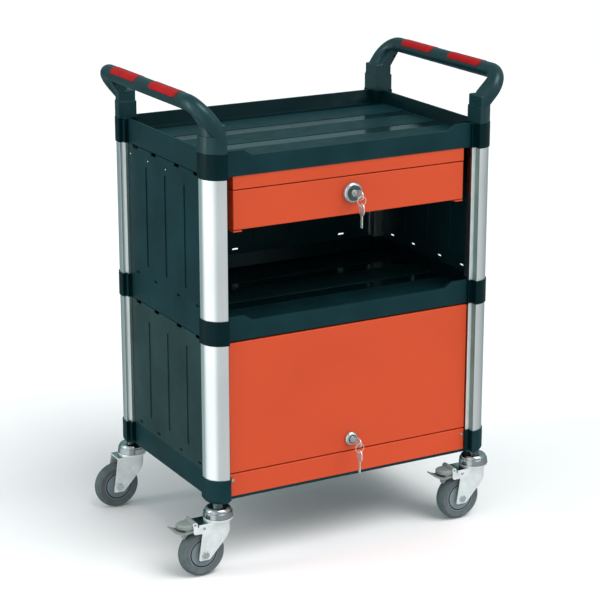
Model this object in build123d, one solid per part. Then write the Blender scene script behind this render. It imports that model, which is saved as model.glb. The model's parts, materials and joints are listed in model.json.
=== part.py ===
from build123d import *
import os
from math import atan2, cos, degrees, radians, sin, sqrt

# Shelf trolley with a drawer and a cupboard flap. Millimetres, +Z up, front towards -Y.
# The origin is on the floor, midway between the four caster swivel axes.

# Casters
wheel_diameter = 106.0
tyre_width = 30.0
tyre_depth = 19.0
tyre_crown = 7.5
tyre_flare = 2.4
hub_groove = 1.2
trail = 42.0
crown_clearance = 14.0
crown_thickness = 4.0
dish_radius = 32.0
dish_height = 4.0
swivel_gap = 0.8
cup_height = 22.0
cup_radius = 33.0
cup_rim_height = 12.0
cup_rim_taper = 1.5
cup_shoulder = 2.0
cup_dome_round = 9.0
cup_wall = 2.5
cup_inner_height = 7.0
neck_height = 8.2
neck_radius = 12.0
stem_radius = 6.0
stem_length = 24.0
king_pin_radius = 5.0
king_head_radius = 9.0
king_head_height = 3.0
race_radius = 20.0
race_width = 8.0
fork_half_width = 22.0
fork_sheet = 2.5
fork_foot_rear = 15.0
fork_foot_front = 10.5
fork_foot_drop = 12.5
fork_foot_round = 4.0
fork_nose = 4.0
fork_nose_drop = 22.0
fork_rear = 45.0
axle_radius = 4.0
axle_head_width = 15.0
axle_head_height = 4.0
hub_boss_radius = 9.0
hub_side_gap = 0.3
running_gap = 0.06
pin_gap = 0.1

# Brakes
brake_crown_rear = 55.5
ear_rear = 69.0
ear_height = 21.0
ear_round = 6.0
ear_lug_radius = 5.5
ear_notch_width = 3.5
ear_notch_depth = 5.0
pedal_pivot_reach = 65.0
pedal_pivot_rise = 1.5
pedal_pivot_radius = 2.5
pedal_boss_radius = 6.5
pedal_side_gap = 0.4
pad_reach = 47.0
pad_thickness = 4.0
pad_root_drop = 15.0
pad_middle_drop = 18.5
pad_end_drop = 9.5
release_reach = 34.0
release_rise = 1.0
release_depth = 9.5
release_round = 5.0
web_inset = 3.0
web_reach = 20.0
shoe_half_width = 7.0
shoe_near = 10.0
shoe_far = 20.0
shoe_gap = 5.0

# Body
body_width = 702.0
body_depth = 490.0
tier_pitch = 355.5
tray_height = 54.0
caster_inset = 22.5

# Post extrusion
post_face = 41.0
post_side = 49.0
post_radius = 38.0
post_wall = 2.5
front_fin_recess = 17.0
front_fin_reach = 8.5
side_fin_recess = 9.0
side_fin_reach = 9.0
fin_depth = 7.0
post_plug = 22.0
post_end_gap = 0.5
sleeve_fit = 0.2
sleeve_wall = 2.0
foot_height = 8.0
foot_taper = 5.0

# Trays
front_recess = 22.0
side_recess = 17.0
skirt_wall = 3.5
rim_top_wall = 5.0
rim_lean = 7.0
deck_drop = 30.0
deck_thickness = 3.0
deck_corner_radius = 14.0
lip_drop = 12.5
lip_shoulder = 74.0
lip_slope = 20.0
band_count = 3
band_pitch = 133.0
band_width = 88.0
band_height = 1.0
rib_thickness = 2.5
rib_gap = 8.0
ribs_along = 5
ribs_across = 7

# Panels
panel_thickness = 3.0
panel_gap = 0.2
panel_end_gap = 1.0
panel_overlap = 6.0
flute_count = 3
flute_pitch = 95.0
flute_width = 14.0
flute_depth = 2.5
flute_end_margin = 34.0
notch_width = 24.0
notch_height = 6.0
notch_inner = 57.0
notch_outer = 150.0
slot_width = 16.0
slot_height = 4.0
slot_rise = 12.0
back_slots = (-230.0, -55.0, 230.0)

# Handles
grip_outset = 20.0
grip_rise = 105.0
grip_radius = 17.0
grip_overhang = 21.0
collar_height = 36.0
collar_grow = 1.2
leg_height = 61.0
leg_shrink = 0.6
riser_inset = 13.4
riser_rise = 63.0
riser_root = 40.0
riser_shift = 8.0
elbow_radius = 44.0
gusset_thickness = 24.0
gusset_inset = 10.0
gusset_reach = 24.0
gusset_rise = 42.0
gusset_grip_drop = 11.0
seam_gap = 6.0
seam_width = 1.2
seam_depth = 0.8
insert_length = 125.0
insert_spacing = 71.0
insert_thickness = 3.0
insert_proud = 0.8
insert_half_angle = 72.0
insert_gap = 0.15

# Sheet metal
sheet = 1.5
pan_depth = 18.0
sheet_bend = 2.0

# Drawer
drawer_recess = 24.0
drawer_side_gap = 26.0
drawer_band = 28.5
drawer_gap = 2.5
drawer_front_height = 84.0
housing_foot = 3.0
housing_foot_gap = 1.5
housing_foot_width = 20.0
housing_back_gap = 25.0
drawer_wall = 1.2
drawer_wall_height = 68.0
drawer_floor_rise = 3.0
drawer_back_gap = 40.0
flange_gap = 0.8
rail_height = 36.0
rail_depth = 11.0
rail_wall = 1.5
rail_clearance = 0.3
rail_rise = 20.0
rail_front_gap = 2.0

# Cupboard flap and kick strip
door_recess = 20.5
door_side_gap = 2.0
door_top_gap = 3.5
door_bottom_gap = 2.5
pivot_drop = 10.0
pivot_setback = 8.0
pivot_radius = 2.5
pivot_shoulder_radius = 3.8
pivot_in_post = 6.0
pivot_past_flange = 3.0
strip_rise = 3.0
strip_bottom_gap = 7.0
strip_flange = 17.0
strip_end_gap = 0.5

# Locks and keys
drawer_rose_radius = 23.0
drawer_rose_depth = 12.0
drawer_lock_height = 49.0
drawer_cam_length = 45.0
door_rose_radius = 16.0
door_rose_depth = 9.0
door_lock_height = 28.0
door_cam_length = 36.0
rose_round = 7.0
barrel_radius = 11.0
plug_radius = 7.0
plug_proud = 1.0
tail_width = 7.0
cam_thickness = 2.0
cam_width = 14.0
cam_wall_gap = 0.8
key_thickness = 2.2
key_blade_height = 7.0
key_blade_length = 26.0
key_in_plug = 18.0
key_bow_width = 22.0
key_bow_length = 28.0
key_hole_radius = 2.6
key_hole_inset = 6.5
key_fit = 0.15
ring_radius = 10.0
ring_wire = 0.7
ring_slack = 1.0

# Levels and planes that the pieces share
wheel_radius = wheel_diameter / 2
crown_under = wheel_diameter + crown_clearance
crown_top = crown_under + crown_thickness
dish_top = crown_top + dish_height
pedal_u = -pedal_pivot_reach
pedal_z = crown_top + pedal_pivot_rise
cup_bottom = dish_top + swivel_gap
cup_top = cup_bottom + cup_height
bottom_z = cup_top + neck_height
middle_z = bottom_z + tier_pitch
top_z = middle_z + tier_pitch
rim_top = top_z + tray_height
half_width = body_width / 2
half_depth = body_depth / 2
rim_x = half_width - side_recess
rim_y = half_depth - front_recess
caster_x = half_width - caster_inset
caster_y = half_depth - caster_inset
post_inner_x = half_width - post_face
fin_inner_x = post_inner_x - front_fin_reach

drawer_y = -half_depth + drawer_recess
drawer_half = post_inner_x - drawer_side_gap
band_bottom = top_z - drawer_band
drawer_top = band_bottom - drawer_gap
drawer_bottom = drawer_top - drawer_front_height
drawer_pan_back = drawer_y + pan_depth
housing_back = rim_y - housing_back_gap
housing_bottom = drawer_bottom - housing_foot_gap - housing_foot
box_half = drawer_half - sheet - rail_depth - rail_clearance
box_floor = drawer_bottom + drawer_floor_rise
box_back = housing_back - drawer_back_gap
rail_bottom = drawer_bottom + rail_rise

door_y = -half_depth + door_recess
door_half = fin_inner_x - door_side_gap
door_top = middle_z - door_top_gap
strip_top = bottom_z + tray_height + strip_rise
door_bottom = strip_top + door_bottom_gap
strip_half = fin_inner_x - sleeve_wall - sleeve_fit - strip_end_gap
pivot_y = door_y + pivot_setback
pivot_z = door_top - pivot_drop
drawer_lock_z = drawer_bottom + drawer_lock_height
door_lock_z = door_bottom + door_lock_height
key_tip = key_bow_length - key_hole_inset + key_blade_length

CORNERS = ("front_left", "front_right", "rear_left", "rear_right")
SIDES = ("left", "right")


# Helpers
def spaced(count, pitch):
    """Offsets of count things at a pitch, centred on nought."""
    return [(i - (count - 1) / 2) * pitch for i in range(count)]


def plan_prism(face, z0, z1):
    """Solid on a plan outline, from z0 up to z1."""
    return Pos(0, 0, z0) * extrude(face, amount=z1 - z0, dir=(0, 0, 1))


def front_prism(face, y0, y1):
    """Solid on a front view outline in x and z, from y0 back to y1."""
    return Pos(0, y0, 0) * extrude(Plane.XZ * face, amount=y1 - y0, dir=(0, 1, 0))


def side_prism(face, x0, x1):
    """Solid on a side view outline in y and z, from x0 to x1."""
    return Pos(x0, 0, 0) * extrude(Plane.YZ * face, amount=x1 - x0, dir=(1, 0, 0))


def rectangle_between(u0, u1, v0, v1):
    """Rectangle between two pairs of coordinates."""
    return Pos((u0 + u1) / 2, (v0 + v1) / 2) * Rectangle(u1 - u0, v1 - v0)


def polygon(*points):
    """Face with straight sides through the points."""
    return make_face(Polyline(*points, close=True))


def rounded(face, point, radius):
    """Face with the corner nearest to a point rounded."""
    corner = face.vertices().sort_by_distance((*point, 0))[0]
    return fillet(corner, radius)


def to_corner(shape, corner):
    """Copy of a front left shape at another corner."""
    if corner.endswith("right"):
        shape = mirror(shape, about=Plane.YZ)
    if corner.startswith("rear"):
        shape = mirror(shape, about=Plane.XZ)
    return shape


def to_side(shape, side):
    """Copy of a left shape on the left or the right."""
    return mirror(shape, about=Plane.YZ) if side == "right" else shape


# Posts and trays
def corner_face(grow=0.0, fins=True):
    """Section of the front left post, let out all round by grow."""
    face_end = post_face + grow
    side_end = post_side + grow
    front_fin = [
        (face_end, front_fin_recess - grow),
        (face_end + front_fin_reach, front_fin_recess - grow),
        (face_end + front_fin_reach, front_fin_recess + fin_depth + grow),
        (face_end, front_fin_recess + fin_depth + grow),
    ]
    side_fin = [
        (side_fin_recess + fin_depth + grow, side_end),
        (side_fin_recess + fin_depth + grow, side_end + side_fin_reach),
        (side_fin_recess - grow, side_end + side_fin_reach),
        (side_fin_recess - grow, side_end),
    ]
    points = [(post_radius, -grow), (face_end, -grow)]
    points += front_fin if fins else []
    points += [(face_end, side_end)]
    points += side_fin if fins else []
    points += [(-grow, side_end), (-grow, post_radius)]
    arc = CenterArc((post_radius, post_radius), post_radius + grow, 180, 90)
    return Pos(-half_width, -half_depth) * make_face(Polyline(*points) + arc)


def post(lower_z, upper_z):
    """Hollow front left post between the trays at two levels, seated in the lower sleeve."""
    start = lower_z + tray_height - post_plug
    end = upper_z + post_plug - post_end_gap
    section = corner_face() - corner_face(-post_wall, fins=False)
    return plan_prism(section, start, end)


def tray_shell(z):
    """Rim, deck, raised bands and ribs of a tray whose underside is at z."""
    top = z + tray_height
    deck = top - deck_drop
    deck_inset = rim_top_wall + rim_lean
    deck_outline = RectangleRounded(2 * (rim_x - deck_inset), 2 * (rim_y - deck_inset), deck_corner_radius)
    lean_angle = degrees(atan2(rim_lean, deck_drop))
    hollow = Pos(0, 0, deck) * extrude(deck_outline, amount=deck_drop, taper=-lean_angle)
    under_outline = Rectangle(2 * (rim_x - skirt_wall), 2 * (rim_y - skirt_wall))
    under = plan_prism(under_outline, z, deck - deck_thickness)
    shell = plan_prism(Rectangle(2 * rim_x, 2 * rim_y), z, top) - hollow - under

    lip_half = rim_x - lip_shoulder
    lip = polygon(
        (-lip_half, top),
        (-lip_half + lip_slope, top - lip_drop),
        (lip_half - lip_slope, top - lip_drop),
        (lip_half, top),
    )
    shell -= front_prism(lip, -rim_y, -rim_y + deck_inset)

    rib_z = z + rib_gap
    ribs = Sketch()
    for y in spaced(ribs_along, 2 * rim_y / (ribs_along + 1)):
        ribs += Pos(0, y) * Rectangle(2 * (rim_x - skirt_wall), rib_thickness)
    for x in spaced(ribs_across, 2 * rim_x / (ribs_across + 1)):
        ribs += Pos(x, 0) * Rectangle(rib_thickness, 2 * (rim_y - skirt_wall))
    shell += plan_prism(ribs, rib_z, deck - deck_thickness)

    for y in spaced(band_count, band_pitch):
        band = Pos(0, y) * Rectangle(2 * (rim_x - rim_top_wall), band_width)
        shell += plan_prism(band, deck, deck + band_height)
    return shell


def tray(z, standing):
    """Whole tray; a standing tray has feet with caster stem holes in place of lower sockets."""
    top = z + tray_height
    body = tray_shell(z)
    outer = corner_face(sleeve_wall + sleeve_fit)
    socket = corner_face(sleeve_fit)
    for corner in CORNERS:
        if standing:
            tip = corner_face(sleeve_wall + sleeve_fit - foot_taper)
            foot = loft([Pos(0, 0, z) * tip, Pos(0, 0, z + foot_height) * outer], ruled=True)
            body += to_corner(foot, corner)
            body += to_corner(plan_prism(outer, z + foot_height, top), corner)
            stem_hole = Pos(-caster_x, -caster_y) * Circle(stem_radius + pin_gap)
            body -= to_corner(plan_prism(stem_hole, z, z + stem_length), corner)
        else:
            body += to_corner(plan_prism(outer, z, top), corner)
            body -= to_corner(plan_prism(socket, z, z + post_plug), corner)
        body -= to_corner(plan_prism(socket, top - post_plug, top), corner)
    return body


# Panels
def fluted_sheet(width, bottom, top, flutes, pitch):
    """Upright sheet in the YZ plane, outer face at x = 0, with flutes pressed in towards +X."""
    body = side_prism(rectangle_between(-width / 2, width / 2, bottom, top), 0, panel_thickness)
    flute_length = top - bottom - 2 * flute_end_margin
    middle = (top + bottom) / 2
    for y in spaced(flutes, pitch):
        ridge = Pos(y, middle) * Rot(0, 0, 90) * SlotOverall(flute_length, flute_width)
        groove_length = flute_length - 2 * flute_depth
        groove = Pos(y, middle) * Rot(0, 0, 90) * SlotOverall(groove_length, flute_width - 2 * flute_depth)
        body += side_prism(ridge, 0, panel_thickness + flute_depth)
        body -= side_prism(groove, 0, flute_depth)
    return body


def side_panel(lower_z):
    """Left side panel above the tray at lower_z, notched along the top and slotted at the foot."""
    bottom = lower_z + tray_height + panel_gap
    top = lower_z + tier_pitch - panel_end_gap
    width = body_depth - 2 * (post_side + side_fin_reach - panel_overlap)
    body = fluted_sheet(width, bottom, top, flute_count, flute_pitch)
    for y in (-notch_outer, -notch_inner, notch_inner, notch_outer):
        notch = Pos(y, top - notch_height / 2) * Rectangle(notch_width, notch_height)
        slot = Pos(y, bottom + slot_rise) * SlotOverall(slot_width, slot_height)
        body -= side_prism(notch, 0, panel_thickness)
        body -= side_prism(slot, 0, panel_thickness)
    face_x = -half_width + side_fin_recess + fin_depth + panel_gap
    return Pos(face_x, 0, 0) * body


def back_panel(lower_z):
    """Back panel above the tray at lower_z."""
    bottom = lower_z + tray_height + panel_gap
    top = lower_z + tier_pitch - panel_end_gap
    width = body_width - 2 * (post_face + front_fin_reach - panel_overlap)
    body = fluted_sheet(width, bottom, top, flute_count + 2, flute_pitch)
    for x in back_slots:
        slot = Pos(x, bottom + slot_rise) * SlotOverall(slot_width, slot_height)
        body -= side_prism(slot, 0, panel_thickness)
    face_y = half_depth - front_fin_recess - fin_depth - panel_gap
    return Pos(0, face_y, 0) * Rot(0, 0, -90) * body


# Handles
grip_x = half_width + grip_outset
grip_z = rim_top + grip_rise
leg_y = half_depth - post_side / 2
insert_middle = (insert_length + insert_spacing) / 2


def grip_sector(inner, outer, half_angle):
    """Front view of a part of the grip's wall, over the top of the left grip."""
    reach = 2 * outer
    left = (-reach * sin(radians(half_angle)), reach * cos(radians(half_angle)))
    right = (-left[0], left[1])
    wedge = polygon((0, 0), right, (right[0], reach), (left[0], reach), left)
    return Pos(-grip_x, grip_z) * ((Circle(outer) - Circle(inner)) & wedge)


def grip_insert(middle_y):
    """Red insert in the left grip."""
    face = grip_sector(grip_radius - insert_thickness, grip_radius + insert_proud, insert_half_angle)
    return front_prism(face, middle_y - insert_length / 2, middle_y + insert_length / 2)


def leg_gusset():
    """Front view of the flat gusset that fills the corner between a leg and the left grip."""
    outer_x = -half_width + gusset_inset
    inner_x = -half_width + gusset_reach
    return polygon(
        (outer_x, rim_top + gusset_rise),
        (-grip_x - grip_radius / 4, grip_z - gusset_grip_drop),
        (-grip_x, grip_z),
        (inner_x, rim_top + leg_height),
        (inner_x, rim_top + gusset_rise),
    )


def handle():
    """Left push handle: two collared legs with spigots, leaning risers and the grip in one moulding."""
    lean = Vector(-half_width + riser_inset, 0, rim_top + riser_rise)
    top = Vector(-grip_x, 0, grip_z)
    root = lean + (lean - top).normalized() * riser_root
    low = Vector(0, leg_y + riser_shift, 0)
    high = Vector(0, leg_y + grip_overhang, 0)
    path = FilletPolyline(root - low, top - high, top + high, root + low, radius=elbow_radius)
    start = Plane(origin=path @ 0, z_dir=path % 0)
    body = sweep(start * Circle(grip_radius), path=path)
    leg_face_x = -post_inner_x - leg_shrink
    past_leg = rectangle_between(leg_face_x, leg_face_x + 4 * grip_radius, rim_top, grip_z)
    body -= front_prism(past_leg, -half_depth - grip_radius, half_depth + grip_radius)

    collar_top = rim_top + collar_height
    collar = plan_prism(corner_face(collar_grow, fins=False), rim_top, collar_top)
    leg = plan_prism(corner_face(-leg_shrink, fins=False), collar_top, rim_top + leg_height)
    spigot = plan_prism(corner_face(), rim_top - post_plug + post_end_gap, rim_top)
    gusset_y = -half_depth + post_side - leg_shrink
    gusset = front_prism(leg_gusset(), gusset_y - gusset_thickness, gusset_y)
    for corner in ("front_left", "rear_left"):
        for piece in (collar, leg, spigot, gusset):
            body += to_corner(piece, corner)

    pocket = grip_sector(
        grip_radius - insert_thickness - insert_gap,
        2 * grip_radius,
        insert_half_angle + degrees(insert_gap / grip_radius),
    )
    seam = Pos(-grip_x, grip_z) * (Circle(2 * grip_radius) - Circle(grip_radius - seam_depth))
    seam_y = insert_middle + insert_length / 2 + seam_gap
    for side in (-1, 1):
        half = insert_length / 2 + insert_gap
        body -= front_prism(pocket, side * insert_middle - half, side * insert_middle + half)
        body -= front_prism(seam, side * seam_y - seam_width / 2, side * seam_y + seam_width / 2)
    return body


# Sheet metal pans
def front_pan(half, bottom, top, face_y):
    """Sheet front with returns on all four edges, open behind."""
    outer = front_prism(rectangle_between(-half, half, bottom, top), face_y, face_y + pan_depth)
    outer = fillet(outer.faces().sort_by(Axis.Y)[0].edges(), sheet_bend)
    inner_outline = rectangle_between(-half + sheet, half - sheet, bottom + sheet, top - sheet)
    return outer - front_prism(inner_outline, face_y + sheet, face_y + pan_depth)


# Drawer
def drawer_housing():
    """Steel carcass under the top tray: band, top, sides, back and the folded feet."""
    wall_front = drawer_pan_back + cam_wall_gap
    outer = rectangle_between(-drawer_half, drawer_half, housing_bottom, top_z)
    inner = rectangle_between(-drawer_half + sheet, drawer_half - sheet, housing_bottom, top_z - sheet)
    shell = front_prism(outer - inner, wall_front, housing_back)
    shell += front_prism(outer, housing_back, housing_back + sheet)
    band = front_prism(rectangle_between(-drawer_half, drawer_half, band_bottom, top_z), drawer_y, wall_front)
    band_inner = rectangle_between(
        -drawer_half + sheet,
        drawer_half - sheet,
        band_bottom + sheet,
        top_z - sheet,
    )
    shell += band - front_prism(band_inner, drawer_y + sheet, wall_front)
    foot_top = housing_bottom + housing_foot
    for side in (-1, 1):
        edges = sorted((side * drawer_half, side * (drawer_half - housing_foot_width)))
        foot = rectangle_between(edges[0], edges[1], housing_bottom, foot_top)
        shell += front_prism(foot, drawer_y, housing_back)
    return shell


def drawer_rail():
    """Fixed left rail, a channel open towards the drawer."""
    wall_x = -drawer_half + sheet
    outer = rectangle_between(wall_x, wall_x + rail_depth, rail_bottom, rail_bottom + rail_height)
    inner = rectangle_between(
        wall_x + rail_wall,
        wall_x + rail_depth,
        rail_bottom + rail_wall,
        rail_bottom + rail_height - rail_wall,
    )
    return front_prism(outer - inner, drawer_pan_back + rail_front_gap, housing_back)


def drawer_slide():
    """Moving left rail, a channel on the drawer's side that runs inside the fixed one."""
    low = rail_bottom + rail_wall + rail_clearance
    high = rail_bottom + rail_height - rail_wall - rail_clearance
    inner_x = -box_half
    outer_x = -drawer_half + sheet + rail_wall + rail_clearance
    outer = rectangle_between(outer_x, inner_x, low, high)
    inner = rectangle_between(outer_x, inner_x - rail_wall, low + rail_wall, high - rail_wall)
    return front_prism(outer - inner, drawer_pan_back + drawer_wall, box_back)


def drawer_box():
    """Folded steel tray with a wide front flange that takes the drawer front."""
    box_top = box_floor + drawer_wall_height
    front = drawer_pan_back
    walls = front_prism(rectangle_between(-box_half, box_half, box_floor, box_top), front, box_back)
    inner = rectangle_between(
        -box_half + drawer_wall,
        box_half - drawer_wall,
        box_floor + drawer_wall,
        box_top,
    )
    walls -= front_prism(inner, front + drawer_wall, box_back - drawer_wall)
    flange_half = drawer_half - sheet - flange_gap
    flange = rectangle_between(-flange_half, flange_half, box_floor, drawer_top - sheet)
    walls += front_prism(flange, front, front + drawer_wall)
    barrel = Pos(0, drawer_lock_z) * Circle(barrel_radius + pin_gap)
    return walls - front_prism(barrel, front, front + drawer_wall)


def lock_hole(pan, face_y, lock_z):
    """Pan with the hole for a lock barrel through its face."""
    hole = Pos(0, lock_z) * Circle(barrel_radius + pin_gap)
    return pan - front_prism(hole, face_y, face_y + sheet)


# Cupboard
def cupboard_door():
    """Steel flap, hung on two pins near its top edge."""
    pan = lock_hole(front_pan(door_half, door_bottom, door_top, door_y), door_y, door_lock_z)
    hole = Pos(pivot_y, pivot_z) * Circle(pivot_radius + running_gap)
    return pan - side_prism(hole, -door_half, door_half)


def pivot_hole():
    """Hole for a flap pin in the front left post."""
    hole = Pos(pivot_y, pivot_z) * Circle(pivot_radius + pin_gap)
    return side_prism(hole, -post_inner_x - post_wall, -post_inner_x)


def pivot_pin():
    """Shouldered pin from the front left post into the flap's side."""
    pin = Pos(pivot_y, pivot_z) * Circle(pivot_radius)
    shoulder = Pos(pivot_y, pivot_z) * Circle(pivot_shoulder_radius)
    body = side_prism(pin, -post_inner_x - pivot_in_post, -door_half + sheet + pivot_past_flange)
    return body + side_prism(shoulder, -post_inner_x, -door_half - hub_side_gap)


def kick_strip():
    """Angle in front of the bottom tray, folded back along its top as the flap's stop."""
    profile = polygon(
        (door_y, bottom_z + strip_bottom_gap),
        (-rim_y, bottom_z + strip_bottom_gap),
        (-rim_y, strip_top - sheet),
        (door_y + strip_flange, strip_top - sheet),
        (door_y + strip_flange, strip_top),
        (door_y, strip_top),
    )
    return side_prism(rounded(profile, (door_y, strip_top), sheet_bend), -strip_half, strip_half)


# Locks, each made on the Y axis with the sheet's outer face at y = 0
def lock_body(rose_radius, rose_depth, cam_y):
    """Round rose and barrel, bored for the plug."""
    bore = plug_radius + running_gap
    edge = (rose_radius, -rose_depth)
    profile = polygon(
        (bore, -rose_depth),
        edge,
        (rose_radius, 0),
        (barrel_radius, 0),
        (barrel_radius, cam_y),
        (bore, cam_y),
    )
    return revolve(rounded(profile, edge, rose_round), Axis.Y)


def key_slot(rose_depth):
    """Room for the key in the plug."""
    width = key_thickness + 2 * key_fit
    face = Rectangle(width, key_blade_height + 2 * key_fit)
    return front_prism(face, -rose_depth - plug_proud, -rose_depth - plug_proud + key_in_plug + key_fit)


def lock_plug(rose_depth, cam_y):
    """Plug with its square tail and the slot for the key."""
    plug = front_prism(Circle(plug_radius), -rose_depth - plug_proud, cam_y)
    plug += front_prism(Rectangle(tail_width, tail_width), cam_y, cam_y + cam_thickness)
    return plug - key_slot(rose_depth)


def lock_cam(length, cam_y):
    """Flat cam on the plug's tail, pointing to +X when unlocked."""
    outline = Pos(length / 2 - cam_width / 4, 0) * SlotOverall(length + cam_width / 2, cam_width)
    hole = Rectangle(tail_width + 2 * pin_gap, tail_width + 2 * pin_gap)
    return front_prism(outline - hole, cam_y + pin_gap, cam_y + cam_thickness)


def key():
    """Key in the YZ plane: ring hole at the origin, bow and blade along +Y."""
    bow_middle = key_bow_length / 2 - key_hole_inset
    face = Pos(bow_middle, 0) * SlotOverall(key_bow_length, key_bow_width)
    half_blade = key_blade_height / 2
    face += rectangle_between(bow_middle, key_tip, -half_blade, half_blade)
    face -= Circle(key_hole_radius)
    return side_prism(face, -key_thickness / 2, key_thickness / 2)


def key_hole_y(rose_depth):
    """Distance from the sheet's face to the ring hole of the key in the lock."""
    return -rose_depth - plug_proud + key_in_plug - key_tip


def lock_key(rose_depth):
    """Key seated in the plug."""
    return Pos(0, key_hole_y(rose_depth), 0) * key()


def spare_key(rose_depth):
    """Spare key hanging on its ring from the key in the lock, as two solids."""
    ring_y = key_hole_y(rose_depth)
    wire = Pos(ring_radius, 0) * Circle(ring_wire)
    ring = Pos(0, ring_y, -ring_slack - ring_radius) * revolve(wire, Axis.Y)
    hung = Pos(0, ring_y, -2 * (ring_slack + ring_radius)) * Rot(-90, 0, 0) * key()
    return [ring, hung]


def lock_set(face_y, lock_z, rose_radius, rose_depth, cam_length, behind, cam_down):
    """All pieces of one lock in place, keyed by their short names."""
    cam_y = pan_depth + behind + cam_wall_gap
    place = Pos(0, face_y, lock_z)
    cam = lock_cam(cam_length, cam_y)
    if cam_down:
        cam = mirror(cam, about=Plane.YZ)
    return {
        "lock_body": [place * lock_body(rose_radius, rose_depth, cam_y)],
        "lock_plug": [place * lock_plug(rose_depth, cam_y), place * cam],
        "key": [place * lock_key(rose_depth)],
        "spare_key": [place * piece for piece in spare_key(rose_depth)],
    }


# Casters, each made with its swivel axis on Z and trailing to -X
def caster_mount():
    """Stem, neck, swivel cup and king pin."""
    inner_top = cup_bottom + cup_inner_height
    pin_foot = crown_under - 2 * hub_side_gap
    rim_radius = cup_radius - cup_rim_taper
    dome_radius = rim_radius - cup_shoulder
    dome_edge = (dome_radius, cup_top)
    profile = polygon(
        (0, bottom_z + stem_length),
        (stem_radius, bottom_z + stem_length),
        (stem_radius, bottom_z),
        (neck_radius, bottom_z),
        (neck_radius, cup_top),
        dome_edge,
        (dome_radius, cup_bottom + cup_rim_height),
        (rim_radius, cup_bottom + cup_rim_height),
        (cup_radius, cup_bottom),
        (cup_radius - cup_wall, cup_bottom),
        (cup_radius - cup_wall, inner_top),
        (king_pin_radius, inner_top),
        (king_pin_radius, pin_foot),
        (king_head_radius, pin_foot),
        (king_head_radius, pin_foot - king_head_height),
        (0, pin_foot - king_head_height),
    )
    return revolve(Plane.XZ * rounded(profile, dome_edge, cup_dome_round), Axis.Z)


def fork_plan(half, rear):
    """Plan of the fork, round at the nose and square at the rear."""
    return rectangle_between(-rear, fork_nose, -half, half) + Pos(fork_nose, 0) * Circle(half)


def fork_side(braked):
    """Side view of the fork's legs with, on a braked caster, the ears that carry the pedal."""
    low = wheel_radius - fork_foot_drop
    nose = fork_nose + fork_half_width
    rear_foot = (-trail - fork_foot_rear, low)
    front_foot = (-trail + fork_foot_front, low)
    outline = polygon(
        (-fork_rear, crown_top),
        rear_foot,
        front_foot,
        (nose, crown_top - fork_nose_drop),
        (nose, crown_top),
    )
    outline = rounded(rounded(outline, rear_foot, fork_foot_round), front_foot, fork_foot_round)
    if not braked:
        return outline
    ear = rectangle_between(-ear_rear, 0, crown_top - ear_height, crown_top)
    outline += rounded(ear, (-ear_rear, crown_top - ear_height), ear_round)
    outline += Pos(pedal_u, pedal_z) * Circle(ear_lug_radius)
    notch_end = -brake_crown_rear - ear_notch_width
    notch_floor = crown_top - ear_notch_depth
    outline -= rectangle_between(notch_end, -brake_crown_rear, notch_floor, pedal_z + ear_lug_radius)
    return outline - Pos(pedal_u, pedal_z) * Circle(pedal_pivot_radius + running_gap)


def fork(braked):
    """Pressed fork: crown with its dish, two legs and race ring."""
    rear = ear_rear + ear_lug_radius if braked else fork_rear + fork_foot_rear
    wall = fork_plan(fork_half_width, rear) - fork_plan(fork_half_width - fork_sheet, rear)
    shell = plan_prism(wall, 0, pedal_z + ear_lug_radius)
    shell &= front_prism(fork_side(braked), -fork_half_width, fork_half_width)
    crown_rear = brake_crown_rear if braked else fork_rear
    shell += plan_prism(fork_plan(fork_half_width, crown_rear), crown_under, crown_top)
    shell += plan_prism(Circle(dish_radius), crown_top, dish_top)
    race_top = cup_bottom + cup_inner_height - 2 * hub_side_gap
    race = Circle(race_radius + race_width / 2) - Circle(race_radius - race_width / 2)
    shell += plan_prism(race, dish_top, race_top)
    shell -= plan_prism(Circle(king_pin_radius + running_gap), crown_under, dish_top)
    axle_hole = Pos(-trail, wheel_radius) * Circle(axle_radius + pin_gap)
    return shell - front_prism(axle_hole, -fork_half_width, fork_half_width)


def axle():
    """Axle bolt with its hexagon head and nut outside the legs."""
    body = front_prism(Circle(axle_radius), -fork_half_width, fork_half_width)
    hexagon = RegularPolygon(axle_head_width / 2, 6, major_radius=False)
    body += front_prism(hexagon, -fork_half_width - axle_head_height, -fork_half_width)
    body += front_prism(hexagon, fork_half_width, fork_half_width + axle_head_height)
    return Pos(-trail, 0, wheel_radius) * body


def hub():
    """Wheel centre: bored boss, web and rim with a groove on both faces."""
    bore = axle_radius + running_gap
    boss = fork_half_width - fork_sheet - hub_side_gap
    rim = wheel_radius - tyre_depth - pin_gap
    face = tyre_width / 2 - tyre_flare
    groove_outer = rim - 2 * hub_groove
    groove_inner = groove_outer - 2 * hub_groove
    half = [
        (bore, boss),
        (hub_boss_radius, boss),
        (hub_boss_radius + 2 * hub_groove, face),
        (groove_inner, face),
        (groove_inner, face - hub_groove),
        (groove_outer, face - hub_groove),
        (groove_outer, face),
        (rim, face),
    ]
    other_half = [(r, -y) for r, y in reversed(half)]
    return Pos(-trail, 0, wheel_radius) * revolve(polygon(*half, *other_half), Axis.Y)


def tyre():
    """Rubber tread with a crowned face."""
    inner = wheel_radius - tyre_depth
    edge = tyre_width / 2
    shoulder = wheel_radius - tyre_crown
    walls = Polyline(
        (shoulder, edge),
        (inner, edge - tyre_flare),
        (inner, -edge + tyre_flare),
        (shoulder, -edge),
    )
    crown = ThreePointArc((shoulder, -edge), (wheel_radius, 0), (shoulder, edge))
    return Pos(-trail, 0, wheel_radius) * revolve(make_face(walls + crown), Axis.Y)


def above_tyre(u):
    """Height of the resting brake shoe over the tyre, at a distance u from the swivel axis."""
    return wheel_radius + sqrt((wheel_radius + shoe_gap) ** 2 - (u + trail) ** 2)


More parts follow.
